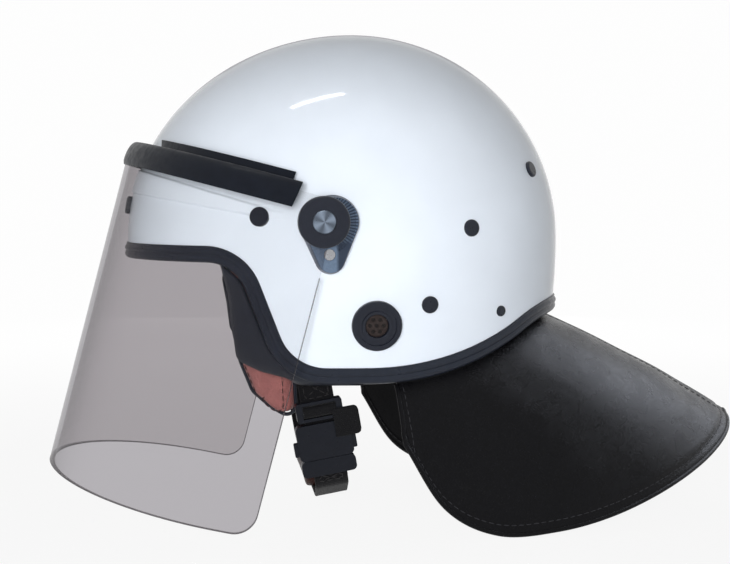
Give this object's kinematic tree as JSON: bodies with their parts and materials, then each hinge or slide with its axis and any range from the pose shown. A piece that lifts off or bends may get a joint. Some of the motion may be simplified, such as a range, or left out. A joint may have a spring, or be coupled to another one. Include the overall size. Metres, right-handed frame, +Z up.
{
  "type": "riot helmet",
  "caption": "Open-face riot helmet with a moulded shell, foam and cushion lining, hinged clear visor with a brow seal, chin strap with a release buckle and a leather neck guard.",
  "frame": {"origin": "centre of the head, midway between the two hearing ports", "axes": "the helmet faces -Y, +Z up, +X to the wearer's left; millimetres in the source, metres in the row"},
  "size_m": [0.2796, 0.472, 0.3184],
  "materials": {
    "shell_white": "high gloss moulded plastic",
    "trim_rubber": "satin extruded rubber",
    "edging_rubber": "satin padded edging",
    "liner_foam": "matte moulded foam",
    "pad_cloth": "knitted cloth over foam",
    "pad_leather": "semi-matte brown leather, stitched",
    "port_plastic": "satin black plastic",
    "grille_plastic": "matte brownish black plastic",
    "cap_plastic": "satin black plastic",
    "base_metal": "cast alloy, lightly satin",
    "screw_steel": "zinc plated steel",
    "bolt_steel": "turned face, satin",
    "knob_plastic": "satin black plastic",
    "washer_rubber": "matte rubber",
    "visor_clear": "clear gloss polycarbonate",
    "seal_rubber": "soft black rubber",
    "strap_webbing": "woven nylon webbing",
    "buckle_plastic": "moulded black acetal",
    "chin_leather": "brown-black leather, stitched",
    "strip_plastic": "matte black strip",
    "guard_leather": "glossy grained black leather"
  },
  "bodies": {
    "helmet": {"shell": "shell_white", "rim_trim": "trim_rubber", "face_edging_left": "edging_rubber", "face_edging_right": "edging_rubber", "impact_liner": "liner_foam", "crown_pad": "pad_cloth", "brow_pad": "pad_cloth", "nape_pad": "pad_cloth", "cheek_pad_left": "pad_leather", "cheek_pad_right": "pad_leather", "hearing_port_left": "port_plastic", "hearing_port_right": "port_plastic", "port_grille_left": "grille_plastic", "port_grille_right": "grille_plastic", "port_nut_left": "port_plastic", "port_nut_right": "port_plastic", "liner_caps": "cap_plastic", "small_caps": "cap_plastic", "brow_studs": "cap_plastic", "pivot_base_left": "base_metal", "pivot_base_right": "base_metal", "base_screws": "screw_steel", "pivot_bolt_left": "bolt_steel", "pivot_bolt_right": "bolt_steel", "pivot_nuts": "screw_steel", "pivot_plates": "screw_steel", "pivot_knob_left": "knob_plastic", "pivot_knob_right": "knob_plastic", "friction_washer_left": "washer_rubber", "friction_washer_right": "washer_rubber", "strap_anchors": "screw_steel", "guard_strip": "strip_plastic", "neck_guard": "guard_leather"},
    "visor": {"visor": "visor_clear", "visor_bush_left": "knob_plastic", "visor_bush_right": "knob_plastic", "visor_seal": "seal_rubber"},
    "chin_strap": {"chin_strap_short": "strap_webbing", "strap_slider": "buckle_plastic", "strap_tail": "strap_webbing", "buckle_socket": "buckle_plastic", "buckle_plug": "buckle_plastic", "chin_strap_long": "strap_webbing", "chin_pad": "chin_leather"},
    "prong_front": {"buckle_prong_front": "buckle_plastic"},
    "prong_rear": {"buckle_prong_rear": "buckle_plastic"}
  },
  "joints": [
    {"name": "visor_hinge", "type": "hinge", "parent": "helmet", "child": "visor", "pos_m": [0, -0.025, 0.063], "axis": [-1, 0, 0], "range_deg": [0, 52]},
    {"name": "strap_swing", "type": "hinge", "parent": "helmet", "child": "chin_strap", "pos_m": [0, -0.03, -0.0265], "axis": [1, 0, 0], "range_deg": [-10, 20]},
    {"name": "prong_rear_flex", "type": "hinge", "parent": "chin_strap", "child": "prong_rear", "pos_m": [0.0985, -0.00752, -0.08143], "axis": [1, 0, 0], "range_deg": [0, 5]},
    {"name": "prong_front_flex", "type": "hinge", "parent": "chin_strap", "child": "prong_front", "pos_m": [0.0985, -0.03234, -0.08581], "axis": [1, 0, 0], "range_deg": [-5, 0]}
  ],
  "couplings": [
    {"joint": "prong_front_flex", "follows": "prong_rear_flex", "ratio": -1}
  ]
}
